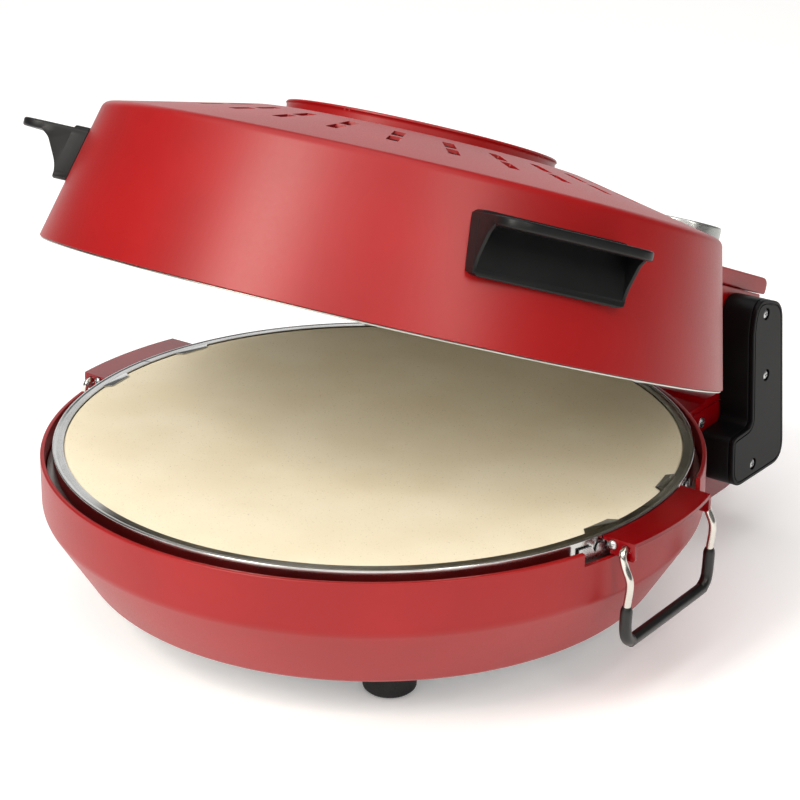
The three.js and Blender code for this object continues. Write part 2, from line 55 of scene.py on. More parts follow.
stone_lo, stone_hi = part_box("pizza_stone")
AXIS = (stone_lo + stone_hi) / 2
BASE = Matrix.Translation((AXIS.x, AXIS.y, 0))

joints = {j["name"]: j for j in frame["joints"]}
knob_axis = Vector(joints["knob_turn"]["axis"])
TILT = math.atan2(knob_axis.y, knob_axis.z)
LOWER_PIVOT = (163.4, 45.6)
UPPER_PIVOT_LID = (158.6, 41.3)
lid_turn = Matrix.Rotation(-TILT, 4, "X")
upper_pivot = Vector(joints["lid_tilt"]["pos_m"])
lid_origin = upper_pivot - lid_turn @ (Vector((0, *UPPER_PIVOT_LID)) * MM)
LID = Matrix.Translation(lid_origin) @ lid_turn

# ---- dimensions, in millimetres ----

STONE_RADIUS = 155
STONE_TOP = 85.65
STONE_BOTTOM = 74.65
RIM_RADIUS = 166.4
RIM_TOP = 83.65
CREASE_RADIUS = 166.55
CREASE_HEIGHT = 58.8
BOTTOM_RADIUS = 145.7
BOTTOM_HEIGHT = 24.65
LID_RADIUS = 172
SHOULDER = (156.14, 70.12)
PLATEAU = (83.4, 85.9)
RING_OUTER = 68.9
RING_TOP = 91.8
KNOB_AZIMUTH = math.radians(28)
KNOB_PLACE = (136 * math.cos(KNOB_AZIMUTH), 136 * math.sin(KNOB_AZIMUTH))
HANDLE_AZIMUTH = math.radians(-31)
HANDLE_REACH = 191.5
HALF_WIDTH = 109.8
ARM_INNER = 110.7
ARM_OUTER = 130
BRACKET_TOP = 86
BAIL_X = 168.7
BAIL_Z = 82.3
NOTCHES = (-18, 10.8, 162, -169.2)  # degrees, where each notch in the rim starts
NOTCH_SWEEP = 7.2
RING_INNER = 154.8
RING_UNDERSIDE = 85.95
TAB_INNER = 150.9
TAB_START = 7.0  # degrees from the end of the half ring
TAB_SWEEP = 8.6
SEAM = math.radians(1)
SEAM_GAP = 0.0021  # radians on each side
DIP = 1.9  # how much lower the ring is behind the stone
DIP_REACH = 29  # degrees each way from the back
DIP_RAMP = 5
FOOT_CIRCLE = 105.6
FEET = {"front_right": -47.7, "front_left": -132.3, "rear_right": 47.7, "rear_left": 132.3}
VENT_COUNT = 27
VENT_START = math.radians(-60)
VENT_CIRCLES = (115.5, 100.5)
KNOB_CLEARANCE = 30.3  # no vent nearer to the knob than this
ARM_UPPER_HOLE = (168.88, 128.75)

# ---- outlines ----


def rounded(points, steps=8):
    """The outline through [u, v, corner size] points, its corners rounded."""
    out = []
    count = len(points)
    for i, point in enumerate(points):
        here = Vector(point[:2])
        size = point[2] if len(point) > 2 else 0
        if size <= 0:
            out.append(here)
            continue
        back = (Vector(points[i - 1][:2]) - here).normalized() * size
        on = (Vector(points[(i + 1) % count][:2]) - here).normalized() * size
        for k in range(steps + 1):
            t = k / steps
            out.append(here + back * (1 - t) ** 2 + on * t * t)
    kept = [p for i, p in enumerate(out) if (p - out[i - 1]).length > 1e-4]
    return [(p.x, p.y) for p in kept]


def inset(points, wall):
    """The outline's points moved inwards, anticlockwise outlines only."""
    count = len(points)
    out = []
    for i in range(count):
        here = Vector(points[i][:2])
        a = (here - Vector(points[i - 1][:2])).normalized()
        b = (Vector(points[(i + 1) % count][:2]) - here).normalized()
        turn = a.x * b.y - a.y * b.x
        start = here + Vector((-a.y, a.x)) * wall
        other = here + Vector((-b.y, b.x)) * wall
        gap = other - start
        t = (gap.x * b.y - gap.y * b.x) / turn
        corner = start + a * t
        size = points[i][2] if len(points[i]) > 2 else 0
        out.append((corner.x, corner.y, max(0, size - math.copysign(wall * 0.8, turn))))
    return out


# ---- solids, as bmesh in millimetres ----


def lathe(profile, steps=192, start=0, sweep=TAU):
    """A closed profile of (radius, height) turned about Z, all the way or part of it."""
    bm = bmesh.new()
    full = abs(sweep - TAU) < 1e-6
    count = steps if full else steps + 1
    rings = []
    for i in range(count):
        a = start + sweep * i / steps
        rings.append([bm.verts.new((r * math.cos(a), r * math.sin(a), z)) for r, z in profile])
    for i in range(steps):
        here, there = rings[i], rings[(i + 1) % count]
        for k in range(len(profile)):
            n = (k + 1) % len(profile)
            bm.faces.new((here[k], there[k], there[n], here[n]))
    if not full:
        bm.faces.new(rings[0])
        bm.faces.new(reversed(rings[-1]))
    bmesh.ops.remove_doubles(bm, verts=bm.verts, dist=1e-5)
    bmesh.ops.recalc_face_normals(bm, faces=bm.faces)
    return bm


def prism(outline, low, high, axis="X", edge=0.0, segments=3):
    """An outline given thickness along an axis, with its end edges rounded."""
    place = {
        "X": lambda u, v, w: (w, u, v),
        "Y": lambda u, v, w: (u, w, v),
        "Z": lambda u, v, w: (u, v, w),
    }[axis]
    bm = bmesh.new()
    first = [bm.verts.new(place(u, v, low)) for u, v in outline]
    last = [bm.verts.new(place(u, v, high)) for u, v in outline]
    bm.faces.new(first)
    bm.faces.new(reversed(last))
    for i in range(len(outline)):
        n = (i + 1) % len(outline)
        bm.faces.new((first[i], last[i], last[n], first[n]))
    bmesh.ops.recalc_face_normals(bm, faces=bm.faces)
    if edge > 0:
        soften(bm, edge, segments)
    return bm


def soften(bm, width, segments=3, angle=35):
    sharp = [e for e in bm.edges if len(e.link_faces) == 2 and e.calc_face_angle(0) > math.radians(angle)]
    bmesh.ops.bevel(
        bm, geom=sharp, offset=width, segments=segments, profile=0.5, affect="EDGES", clamp_overlap=True
    )
    return bm


def block(x0, x1, y0, y1, z0, z1):
    return prism([(x0, y0), (x1, y0), (x1, y1), (x0, y1)], z0, z1, "Z")


def disc(axis, centre, low, high, radius, steps=32):
    u, v = centre
    ring = []
    for i in range(steps):
        a = TAU * i / steps
        ring.append((u + radius * math.cos(a), v + radius * math.sin(a)))
    return prism(ring, low, high, axis)


def sector(inner, outer, start, stop, low, high, steps=12):
    angles = [math.radians(start + (stop - start) * i / steps) for i in range(steps + 1)]
    outline = [(outer * math.cos(a), outer * math.sin(a)) for a in angles]
    outline += [(inner * math.cos(a), inner * math.sin(a)) for a in reversed(angles)]
    return prism(outline, low, high, "Z")


def catmull(points, steps=12):
    """A smooth line through the points."""
    p = [Vector(q) for q in points]
    p = [p[0] * 2 - p[1], *p, p[-1] * 2 - p[-2]]
    out = []
    for i in range(1, len(p) - 2):
        for k in range(steps):
            t = k / steps
            a, b, c, d = p[i - 1 : i + 3]
            square = 2 * a - 5 * b + 4 * c - d
            cube = 3 * b - a - 3 * c + d
            out.append(0.5 * (2 * b + (c - a) * t + square * t * t + cube * t**3))
    out.append(p[-2])
    return out


def tube(line, radii, sides=20):
    """A round bar along a line, its radius given for each point or once for all."""
    if not isinstance(radii, (list, tuple)):
        radii = [radii] * len(line)
    bm = bmesh.new()
    rings = []
    along = (line[1] - line[0]).normalized()
    side = along.orthogonal().normalized()
    for i, point in enumerate(line):
        ahead = line[min(i + 1, len(line) - 1)] - line[max(i - 1, 0)]
        ahead.normalize()
        side = (side - ahead * side.dot(ahead)).normalized()
        up = ahead.cross(side)
        r = radii[i]
        ring = []
        for k in range(sides):
            a = TAU * k / sides
            ring.append(bm.verts.new(point + side * (r * math.cos(a)) + up * (r * math.sin(a))))
        rings.append(ring)
    for a, b in zip(rings, rings[1:]):
        for k in range(sides):
            n = (k + 1) % sides
            bm.faces.new((a[k], a[n], b[n], b[k]))
    bm.faces.new(reversed(rings[0]))
    bm.faces.new(rings[-1])
    bmesh.ops.recalc_face_normals(bm, faces=bm.faces)
    return bm


def moved(bm, matrix):
    bmesh.ops.transform(bm, matrix=matrix, verts=bm.verts)
    if matrix.determinant() < 0:
        bmesh.ops.reverse_faces(bm, faces=bm.faces)
    return bm


def mirrored(bm):
    return moved(bm.copy(), Matrix.Scale(-1, 4, (1, 0, 0)))


def joined(*parts):
    """Several solids in one mesh, unmerged."""
    out = bmesh.new()
    for part in parts:
        mesh = bpy.data.meshes.new("part")
        part.to_mesh(mesh)
        out.from_mesh(mesh)
        bpy.data.meshes.remove(mesh)
    return out


def combine(bm, other, operation="DIFFERENCE"):
    """One solid cut by, or joined to, another."""
    objects = []
    for source in (bm, other):
        mesh = bpy.data.meshes.new("work")
        source.to_mesh(mesh)
        obj = bpy.data.objects.new("work", mesh)
        bpy.context.scene.collection.objects.link(obj)
        objects.append(obj)
    modifier = objects[0].modifiers.new("cut", "BOOLEAN")
    modifier.operation = operation
    modifier.solver = "EXACT"
    modifier.use_self = operation == "DIFFERENCE"
    modifier.object = objects[1]
    graph = bpy.context.evaluated_depsgraph_get()
    result = bpy.data.meshes.new_from_object(objects[0].evaluated_get(graph))
    out = bmesh.new()
    out.from_mesh(result)
    bpy.data.meshes.remove(result)
    for obj in objects:
        mesh = obj.data
        bpy.data.objects.remove(obj)
        bpy.data.meshes.remove(mesh)
    bmesh.ops.remove_doubles(out, verts=out.verts, dist=1e-3)
    return out


def flatten(bm):
    bmesh.ops.dissolve_limit(bm, angle_limit=math.radians(0.5), verts=bm.verts, edges=bm.edges)
    return bm


# ---- pieces ----


def turned_normals(mesh, profile):
    """Shading normals of a turned surface, from its profile, so that cuts through it don't show in the gloss."""
    p = np.array(profile, float)
    q = np.roll(p, -1, 0)
    seg = q - p
    length = np.linalg.norm(seg, axis=1)
    keep = length > 1e-6
    p, q, seg, length = p[keep], q[keep], seg[keep], length[keep]
    flat = np.stack([seg[:, 1], -seg[:, 0]], 1) / length[:, None]
    area = 0.5 * np.sum(p[:, 0] * q[:, 1] - q[:, 0] * p[:, 1])
    if area < 0:
        flat = -flat
    before = np.roll(flat, 1, 0)
    after = np.roll(flat, -1, 0)
    limit = math.cos(math.radians(25))
    start = np.where((np.sum(flat * before, 1) > limit)[:, None], flat + before, flat)
    stop = np.where((np.sum(flat * after, 1) > limit)[:, None], flat + after, flat)
    faces = len(mesh.polygons)
    face_normals = np.zeros(faces * 3, np.float32)
    mesh.polygons.foreach_get("normal", face_normals)
    totals = np.zeros(faces, np.int32)
    mesh.polygons.foreach_get("loop_total", totals)
    loop_normals = np.repeat(face_normals.reshape(-1, 3), totals, 0)
    index = np.zeros(len(mesh.loops), np.int32)
    mesh.loops.foreach_get("vertex_index", index)
    co = np.zeros(len(mesh.vertices) * 3, np.float32)
    mesh.vertices.foreach_get("co", co)
    v = co.reshape(-1, 3)[index] / MM
    r = np.hypot(v[:, 0], v[:, 1])
    radial = v[:, :2] / np.maximum(r, 1e-9)[:, None]
    best = np.full(len(v), 1e9)
    normals = loop_normals.copy()
    for k in range(len(p)):
        d = np.stack([r, v[:, 2]], 1) - p[k]
        t = np.clip(d @ seg[k] / length[k] ** 2, 0, 1)
        off = np.linalg.norm(d - t[:, None] * seg[k], axis=1)
        n2 = start[k] * (1 - t)[:, None] + stop[k] * t[:, None]
        n2 /= np.linalg.norm(n2, axis=1)[:, None]
        n3 = np.concatenate([radial * n2[:, :1], n2[:, 1:]], 1)
        fits = (off < 0.05) & (np.sum(n3 * loop_normals, 1) > 0.9) & (off < best - 1e-4)
        normals[fits] = n3[fits]
        best[fits] = off[fits]
    return normals


def piece(name, bm, where, material, body, nodes=(), profile=None, crease=30):
    """Makes the object from a bmesh in millimetres and sets it riding on its body."""
    mesh = bpy.data.meshes.new(name)
    bmesh.ops.transform(bm, matrix=Matrix.Scale(MM, 4), verts=bm.verts)
    bm.to_mesh(mesh)
    bm.free()
    mesh.shade_smooth()
    normals = turned_normals(mesh, profile) if profile else None
    mesh.transform(where)
    if profile:
        turn = np.array(where.to_3x3())
        mesh.normals_split_custom_set([tuple(n) for n in normals @ turn.T])
    else:
        mesh.set_sharp_from_angle(angle=math.radians(crease))
    mesh.materials.append(material)
    obj = bpy.data.objects.new(name, mesh)
    bpy.context.scene.collection.objects.link(obj)
    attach(obj, body)
    if nodes:
        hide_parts(*nodes)
    return obj


DIAL = LID @ Matrix.Translation(Vector((*KNOB_PLACE, 0)) * MM)

# ---- finishes ----


def linear(r, g, b):
    """The linear colour of three display values from 0 to 255."""
    tones = []
    for c in (r, g, b):
        tones.append(c / 255 / 12.92 if c <= 10 else ((c / 255 + 0.055) / 1.055) ** 2.4)
    return (*tones, 1)


def finish(
    name,
    dark,
    light,
    rough,
    patch=40,
    grain=1400,
    bump=0.1,
    depth=0.00008,
    metallic=0.0,
    specular=0.5,
    spun=None,
    stretch=(1, 1, 1),
    speckle=None,
):
    """A procedural finish: two tones mixed in soft patches, a fine grain in roughness and relief."""
    material = bpy.data.materials.new(name)
    material.use_nodes = True
    tree = material.node_tree
    shader = tree.nodes["Principled BSDF"]
    shader.inputs["Metallic"].default_value = metallic
    shader.inputs["Specular IOR Level"].default_value = specular
    place = tree.nodes.new("ShaderNodeTexCoord").outputs["Object"]
    if spun:
        axis = tree.nodes.new("ShaderNodeMapping")
        axis.vector_type = "TEXTURE"
        axis.inputs["Location"].default_value = spun.translation
        axis.inputs["Rotation"].default_value = spun.to_euler()
        tree.links.new(place, axis.inputs[0])
        parts = tree.nodes.new("ShaderNodeSeparateXYZ")
        tree.links.new(axis.outputs[0], parts.inputs[0])
        radius = tree.nodes.new("ShaderNodeMath")
        radius.operation = "MULTIPLY"
        tree.links.new(parts.outputs[0], radius.inputs[0])
        tree.links.new(parts.outputs[0], radius.inputs[1])
        square = tree.nodes.new("ShaderNodeMath")
        square.operation = "MULTIPLY_ADD"
        tree.links.new(parts.outputs[1], square.inputs[0])
        tree.links.new(parts.outputs[1], square.inputs[1])
        tree.links.new(radius.outputs[0], square.inputs[2])
        root = tree.nodes.new("ShaderNodeMath")
        root.operation = "SQRT"
        tree.links.new(square.outputs[0], root.inputs[0])
        around = tree.nodes.new("ShaderNodeMath")
        around.operation = "ARCTAN2"
        tree.links.new(parts.outputs[1], around.inputs[0])
        tree.links.new(parts.outputs[0], around.inputs[1])
        small = tree.nodes.new("ShaderNodeMath")
        small.operation = "MULTIPLY"
        small.inputs[1].default_value = 0.006
        tree.links.new(around.outputs[0], small.inputs[0])
        polar = tree.nodes.new("ShaderNodeCombineXYZ")
        tree.links.new(root.outputs[0], polar.inputs[0])
        tree.links.new(small.outputs[0], polar.inputs[1])
        tree.links.new(parts.outputs[2], polar.inputs[2])
        fine_place = polar.outputs[0]
    else:
        mapping = tree.nodes.new("ShaderNodeMapping")
        mapping.inputs["Scale"].default_value = stretch
        tree.links.new(place, mapping.inputs[0])
        fine_place = mapping.outputs[0]

    def noise(scale, detail, vector):
        node = tree.nodes.new("ShaderNodeTexNoise")
        node.inputs["Scale"].default_value = scale
        node.inputs["Detail"].default_value = detail
        tree.links.new(vector, node.inputs["Vector"])
        return node.outputs["Fac"]

    broad = noise(patch, 3, place)
    fine = noise(grain, 4, fine_place)
    blend = tree.nodes.new("ShaderNodeMapRange")
    blend.inputs["From Min"].default_value = 0.35
    blend.inputs["From Max"].default_value = 0.65
    tree.links.new(broad, blend.inputs["Value"])
    tones = tree.nodes.new("ShaderNodeMix")
    tones.data_type = "RGBA"
    tones.inputs["A"].default_value = dark
    tones.inputs["B"].default_value = light
    tree.links.new(blend.outputs["Result"], tones.inputs["Factor"])
    colour = tones.outputs["Result"]
    if speckle:
        spots = noise(speckle[1], 2, place)
        amount = tree.nodes.new("ShaderNodeMapRange")
        amount.inputs["From Min"].default_value = speckle[2]
        amount.inputs["From Max"].default_value = speckle[3]
        tree.links.new(spots, amount.inputs["Value"])
        over = tree.nodes.new("ShaderNodeMix")
        over.data_type = "RGBA"
        tree.links.new(amount.outputs["Result"], over.inputs["Factor"])
        tree.links.new(colour, over.inputs["A"])
        over.inputs["B"].default_value = speckle[0]
        colour = over.outputs["Result"]
    tree.links.new(colour, shader.inputs["Base Color"])
    gloss = tree.nodes.new("ShaderNodeMapRange")
    gloss.inputs["From Min"].default_value = 0.3
    gloss.inputs["From Max"].default_value = 0.7
    gloss.inputs["To Min"].default_value = rough[0]
    gloss.inputs["To Max"].default_value = rough[1]
    tree.links.new(fine, gloss.inputs["Value"])
    tree.links.new(gloss.outputs["Result"], shader.inputs["Roughness"])
    relief = tree.nodes.new("ShaderNodeBump")
    relief.inputs["Strength"].default_value = bump
    relief.inputs["Distance"].default_value = depth
    tree.links.new(fine, relief.inputs["Height"])
    tree.links.new(relief.outputs["Normal"], shader.inputs["Normal"])
    return material


RED = finish(
    "red_paint", linear(140, 4, 6), linear(149, 6, 8), (0.34, 0.44), patch=18, grain=1800, bump=0.16, specular=0.42
)
GLOSS_RED = finish(
    "gloss_red", linear(112, 0, 5), linear(126, 1, 8), (0.1, 0.2), patch=25, grain=900, bump=0.05, specular=0.3
)
BLACK = finish(
    "black_plastic", linear(9, 9, 10), linear(14, 14, 15), (0.36, 0.48), patch=60, grain=2600, bump=0.2, specular=0.28
)
# Painted shade: the hinge arms use a darker, less shiny copy of black_plastic, standing in for the shadow they sit
# in.
ARM_BLACK_PAINTED_SHADE = finish(
    "arm_plastic_painted_shade", linear(8, 8, 9), linear(12, 12, 13), (0.38, 0.5), patch=50, grain=2600, bump=0.2, specular=0.12
)
GRIP = finish("grip_plastic", linear(7, 7, 7), linear(11, 11, 11), (0.3, 0.4), patch=80, grain=2200, bump=0.15)
RUBBER = finish("foot_rubber", linear(20, 20, 20), linear(29, 28, 28), (0.7, 0.85), patch=90, grain=1500, bump=0.3)
WIRE = finish(
    "bright_wire", linear(196, 192, 184), linear(214, 211, 204), (0.12, 0.22), patch=60, grain=900, bump=0.05,
    metallic=1, stretch=(1, 1, 0.1),
)
CHROME = finish(
    "chromed_ring", linear(186, 186, 184), linear(206, 206, 205), (0.1, 0.2), patch=30, grain=2600, bump=0.04,
    metallic=1, spun=BASE,
)
STONE = finish(
    "baking_stone", linear(234, 222, 194), linear(240, 230, 205), (0.85, 0.98), patch=22, grain=900, bump=0.35,
    depth=0.00012, specular=0.2, speckle=(linear(196, 184, 156), 1300, 0.66, 0.74),
)
PAN = finish(
    "pan_sheet", linear(176, 175, 170), linear(200, 199, 195), (0.26, 0.42), patch=26, grain=1500, bump=0.08,
    metallic=1, spun=BASE,
)
LINER = finish(
    "aluminised_sheet", linear(186, 184, 176), linear(208, 206, 199), (0.26, 0.42), patch=26, grain=1500, bump=0.08,
    metallic=1, spun=LID,
)
SHEATH = finish("element_sheath", linear(62, 56, 50), linear(84, 76, 68), (0.45, 0.65), grain=900, metallic=0.7)
CERAMIC = finish("element_ceramic", linear(222, 217, 206), linear(234, 230, 220), (0.5, 0.7), grain=1600)
SILVER = finish(
    "knob_silver", linear(150, 152, 150), linear(176, 178, 176), (0.22, 0.34), grain=2400, bump=0.06, metallic=0.9,
    spun=DIAL,
)
STEEL = finish("plain_steel", linear(176, 178, 180), linear(204, 205, 206), (0.2, 0.34), grain=1800, metallic=1)
FLOOR = finish("floor", linear(250, 250, 250), linear(252, 252, 252), (0.8, 0.9), patch=2, grain=60, bump=0.01)
floor_shader = FLOOR.node_tree.nodes["Principled BSDF"]
floor_shader.inputs["Emission Color"].default_value = (1, 1, 1, 1)
floor_shader.inputs["Emission Strength"].default_value = 0.16

# ---- base ----

base_profile = rounded(
    [
        (134, BOTTOM_HEIGHT, 0),
        (BOTTOM_RADIUS, BOTTOM_HEIGHT, 3),
        (CREASE_RADIUS, CREASE_HEIGHT, 2.2),
        (RIM_RADIUS, RIM_TOP, 0.9),
        (RIM_RADIUS - 2.2, RIM_TOP, 0.5),
        (RIM_RADIUS - 2.2, CREASE_HEIGHT + 0.6, 2),
        (BOTTOM_RADIUS - 1.1, BOTTOM_HEIGHT + 1.5, 2),
        (134, BOTTOM_HEIGHT + 1.5, 0),
    ],
    6,
)
shell = lathe(base_profile, 216)
notch_cut = joined(*[sector(162, 169, a, a + NOTCH_SWEEP, 77.4, 90, 4) for a in NOTCHES])
shell = combine(shell, notch_cut)
piece("base_body", shell, BASE, RED, "base", ["base_shell"], profile=base_profile)

pan_profile = rounded(
    [
        (0, 44), (141.2, 44, 4), (141.2, 73.15, 2), (163.6, 73.15), (163.6, 74.35, 0.4), (140, 74.35, 1.5),
        (140, 45.2, 3.5), (0, 45.2),
    ]
)
piece("base_pan", lathe(pan_profile, 144), BASE, PAN, "base", ["base_liner"])

under_profile = rounded(
    [
        (0, 22.4), (100, 22.4, 2), (104, 23.2, 2), (128, 23.2, 1), (130, 22.4, 1), (138, 22.4), (138, 24.3),
        (0, 24.3),
    ],
    4,
)
piece("bottom_cover", lathe(under_profile, 144), BASE, STEEL, "base", ["bottom_plate"])

stone_profile = rounded(
    [(0, STONE_BOTTOM), (STONE_RADIUS, STONE_BOTTOM, 1.2), (STONE_RADIUS, STONE_TOP, 1.3), (0, STONE_TOP)]
)
piece("baking_stone", lathe(stone_profile), BASE, STONE, "base", ["pizza_stone"])

foot_profile = rounded(
    [(0, 0), (10.9, 0, 0.6), (12.7, 1.6, 0.8), (12.7, 13, 0.3), (12.2, 14, 0.2), (12.2, 22.1), (0, 22.1)], 4
)
for corner, azimuth in FEET.items():
    a = math.radians(azimuth)
    foot = lathe(foot_profile, 48)
    moved(foot, Matrix.Translation((FOOT_CIRCLE * math.cos(a), FOOT_CIRCLE * math.sin(a), 0)))
    piece("rubber_foot_" + corner, foot, BASE, RUBBER, "base", ["foot_" + corner])

# Ring that holds the stone, in two halves, with tabs over the stone and a fine bead at its outer edge.
ring_profile = rounded(
    [
        (RING_INNER, RING_UNDERSIDE, 0.1), (158.9, RING_UNDERSIDE, 0.2), (158.9, 75, 0.2), (160.3, 75, 0.2),
        (160.3, 86.6, 0.5), (159.2, 86.6, 0.5), (158.6, 86.35, 0.3), (RING_INNER, 86.35, 0.15),
    ],
    5,
)


def on_circle(radius, angle):
    return radius * math.cos(angle), radius * math.sin(angle)


for name, start in (("front", math.pi + SEAM), ("rear", SEAM)):
    half_ring = lathe(ring_profile, 144, start + SEAM_GAP, math.pi - 2 * SEAM_GAP)
    for v in half_ring.verts:
        r = math.hypot(v.co.x, v.co.y)
        a = math.atan2(v.co.y, v.co.x)
        from_start = (a - start) % math.pi
        if min(from_start, math.pi - from_start) < 0.006:
            # The ends lean a little.
            a += 0.012 * (r - 157.5) / 5
            v.co.x, v.co.y = on_circle(r, a)
        # Lower behind the stone, where the back edge of the lid comes down.
        behind = abs(math.degrees(math.atan2(v.co.y, v.co.x)) - 90)
        dip = min(1, max(0, (DIP_REACH - behind) / DIP_RAMP))
        if name == "rear" and v.co.z > 80 and dip > 0:
            v.co.x, v.co.y = on_circle(max(r, RING_INNER + 1.3 * dip), a)
            v.co.z -= DIP * dip
    parts = [half_ring]
    for first in (TAB_START, 180 - TAB_START - TAB_SWEEP):
        low = math.degrees(start) + first
        plan = [on_circle(155.4, math.radians(low + TAB_SWEEP * i / 10)) for i in range(11)]
        plan += [on_circle(TAB_INNER, math.radians(low + 1.3 + 6.0 * i / 10)) for i in reversed(range(11))]
        parts.append(prism(plan, 85.97, 86.37, "Z", 0.1, 2))
    piece("ring_" + name, joined(*parts), BASE, CHROME, "base", ["stone_ring_" + name])


def cross_head(radius, height):
    """A pan-head screw with a cross recess, its head along +Z from 0."""
    fillet = height * 0.3
    side = [(0, 0), (radius, 0), (radius, height * 0.45, fillet), (radius * 0.55, height, fillet), (0, height)]
    head = lathe(rounded(side), 40)
    arm = radius * 0.56
    thick = radius * 0.13
    for x, y in ((arm, thick), (thick, arm)):
        head = combine(head, block(-x, x, -y, y, height * 0.35, height + 1))
    return head


def aimed(bm, centre, direction):
    turn = Vector((0, 0, 1)).rotation_difference(Vector(direction)).to_matrix().to_4x4()
    return moved(bm, Matrix.Translation(centre) @ turn)


# Spring clips seen in the four notches of the rim; the screws seen in the notches are the tab screws made with the
# brackets.
for i, a0 in enumerate(NOTCHES):
    clip = sector(160.9, 161.7, a0 + 0.2, a0 + 7.0, 77.2, 83.4, 12)
    tooth = joined(
        prism([(-2.4, 84.2), (2.6, 84.2), (0.1, 79.4)], 150, 170, "X"),
        prism([(5.2, 84.2), (7.6, 84.2), (7.6, 80.2)], 150, 170, "X"),
    )
    middle = math.radians(a0 + 3.6)
    clip = combine(clip, moved(tooth, Matrix.Rotation(middle, 4, "Z")))
    soften(clip, 0.12, 1)
    piece("rim_clip_%d" % i, clip, BASE, STEEL, "base")

# ---- housing for the lower hinge ----


def barrel(degrees, radius):
    a = math.radians(degrees)
    return (LOWER_PIVOT[0] + radius * math.cos(a), LOWER_PIVOT[1] + radius * math.sin(a))


def housing_outline(radius, floor, top):
    start = math.degrees(math.asin((top - LOWER_PIVOT[1]) / radius))
    points = [(98, floor), (184, floor, 12), (*barrel(-12, radius), 6)]
    points += [barrel(start * i / 16, radius) for i in range(17)]
    points.append((98, top))
    return rounded(points, 10)


def base_envelope(clearance):
    return lathe(
        [
            (0, 0), (BOTTOM_RADIUS + clearance, 0), (BOTTOM_RADIUS + clearance, BOTTOM_HEIGHT),
            (CREASE_RADIUS + clearance, CREASE_HEIGHT), (RIM_RADIUS + clearance, 200), (0, 200),
        ],
        216,
    )


housing = prism(housing_outline(36.6, 22.2, 78), -HALF_WIDTH, HALF_WIDTH, "X", 0.9)
half = HALF_WIDTH - 2.5
housing = combine(housing, prism(housing_outline(34.1, 24.7, 79), -half, half, "X"))
housing = combine(housing, disc("X", LOWER_PIVOT, -200, 200, 3.5))
housing = combine(housing, disc("Z", (88, 158), 10, 40, 4.3))
housing = combine(housing, base_envelope(0.3))
piece("housing_body", housing, BASE, GLOSS_RED, "base", ["hinge_housing"])

cover_points = [(98, 78.3), (98, 81.4), (143, 81.4, 0.5), (145.2, 83, 0.8), (163.4, 83)]
end = math.degrees(math.asin((78.3 - LOWER_PIVOT[1]) / 37.2))
cover_points += [barrel(90 - (90 - end) * i / 12, 37.2) for i in range(1, 13)]
cover = prism(rounded(list(reversed(cover_points)), 6), -HALF_WIDTH, HALF_WIDTH, "X", 0.6)
cover = combine(cover, base_envelope(0.3))
piece("housing_lid", cover, BASE, GLOSS_RED, "base", ["housing_cover"])

# ---- hinge arms, brackets and bails, right side and its mirror ----

ARM_OUTLINE = [
    (140.8, 38, 11), (199.2, 37.2, 13), (187.2, 130.6, 9), (157.2, 140.8, 15), (155.3, 120), (160.1, 68, 5),
    (138.9, 67, 5),
]
COVER_SCREWS = {"top": (168.9, 128.7), "mid": (172.9, 93.4), "bottom": (163.4, 45.6)}


def arm_shell():
    body = prism(rounded(ARM_OUTLINE, 12), ARM_INNER, ARM_OUTER - 2.7, "X", 0.7)
    body = combine(body, prism(rounded(inset(ARM_OUTLINE, 2.5), 12), ARM_INNER + 2.5, ARM_OUTER, "X"))
    for pivot in (LOWER_PIVOT, ARM_UPPER_HOLE):
        body = combine(body, disc("X", pivot, 100, 120, 3.5))
    return body


def arm_cover():
    body = prism(rounded(ARM_OUTLINE, 12), ARM_OUTER - 2.4, ARM_OUTER, "X", 0.55)
    face = max(body.faces, key=lambda f: f.calc_center_median().x + f.calc_area() * 1e-3)
    for width, depth in ((1.1, 0), (0.25, -0.45), (0.4, 0), (0.25, 0.45)):
        bmesh.ops.inset_region(body, faces=[face], thickness=width, depth=depth, use_even_offset=True)
    for place in COVER_SCREWS.values():
        body = combine(body, disc("X", place, ARM_OUTER - 1.6, ARM_OUTER + 1, 3.3, 40))
    return body


def bracket():
    """Flat plate over the rim with a tab bent down at each end."""
    corner = math.sqrt(160.8**2 - 34.6**2)
    outer = math.sqrt(176.3**2 - 33.3**2)
    plan = rounded(
        [
            (corner, -34.6), (outer - 0.6, -34.3, 1.2), (250, -20), (250, 20), (outer - 0.6, 34.3, 1.2),
            (corner, 34.6),
        ]
    )
    plate = prism(plan, BRACKET_TOP - 1.9, BRACKET_TOP, "Z")
    plate = combine(plate, sector(160.8, 176.3, -20, 20, 80, 90, 48), "INTERSECT")
    side = rounded(
        [(160.6, 78.2, 1.2), (166.8, 78.2, 1), (166.8, 77.2, 1), (173.4, 77.2, 2), (173.2, 85.3), (160.6, 85.3)]
    )
    tab = prism(side, -34.2, -32.3, "Y")
    body = combine(plate, tab, "UNION")
    body = combine(body, moved(tab.copy(), Matrix.Scale(-1, 4, (0, 1, 0))), "UNION")
    flatten(body)
    soften(body, 0.42, 3)
    for low in (-40, 30):
        body = combine(body, disc("Y", (BAIL_X, BAIL_Z), low, low + 10, 2.2))
    return body


BAIL_HALF = [
    (BAIL_X, 30.6, BAIL_Z), (BAIL_X, 35, BAIL_Z), (169, 37.3, 80.4), (170.5, 37.5, 75.5), (173.2, 37.5, 68.5),
    (172.2, 37.5, 57), (171.8, 37.5, 47.5), (171.8, 36.2, 41.6), (171.8, 32.6, 38.6), (171.8, 27, 38),
]
BAIL_PATH = BAIL_HALF + [(x, -y, z) for x, y, z in reversed(BAIL_HALF)]


def bail_wire():
    return tube(catmull(BAIL_PATH, 10), 1.8, 24)


def bail_grip():
    line = catmull(BAIL_PATH[5:-5], 12)
    radii = []
    for i in range(len(line)):
        from_end = min(i, len(line) - 1 - i)
        radii.append(2.8 - 0.7 * max(0, 1 - from_end / 3) ** 2)
    return tube(line, radii, 24)


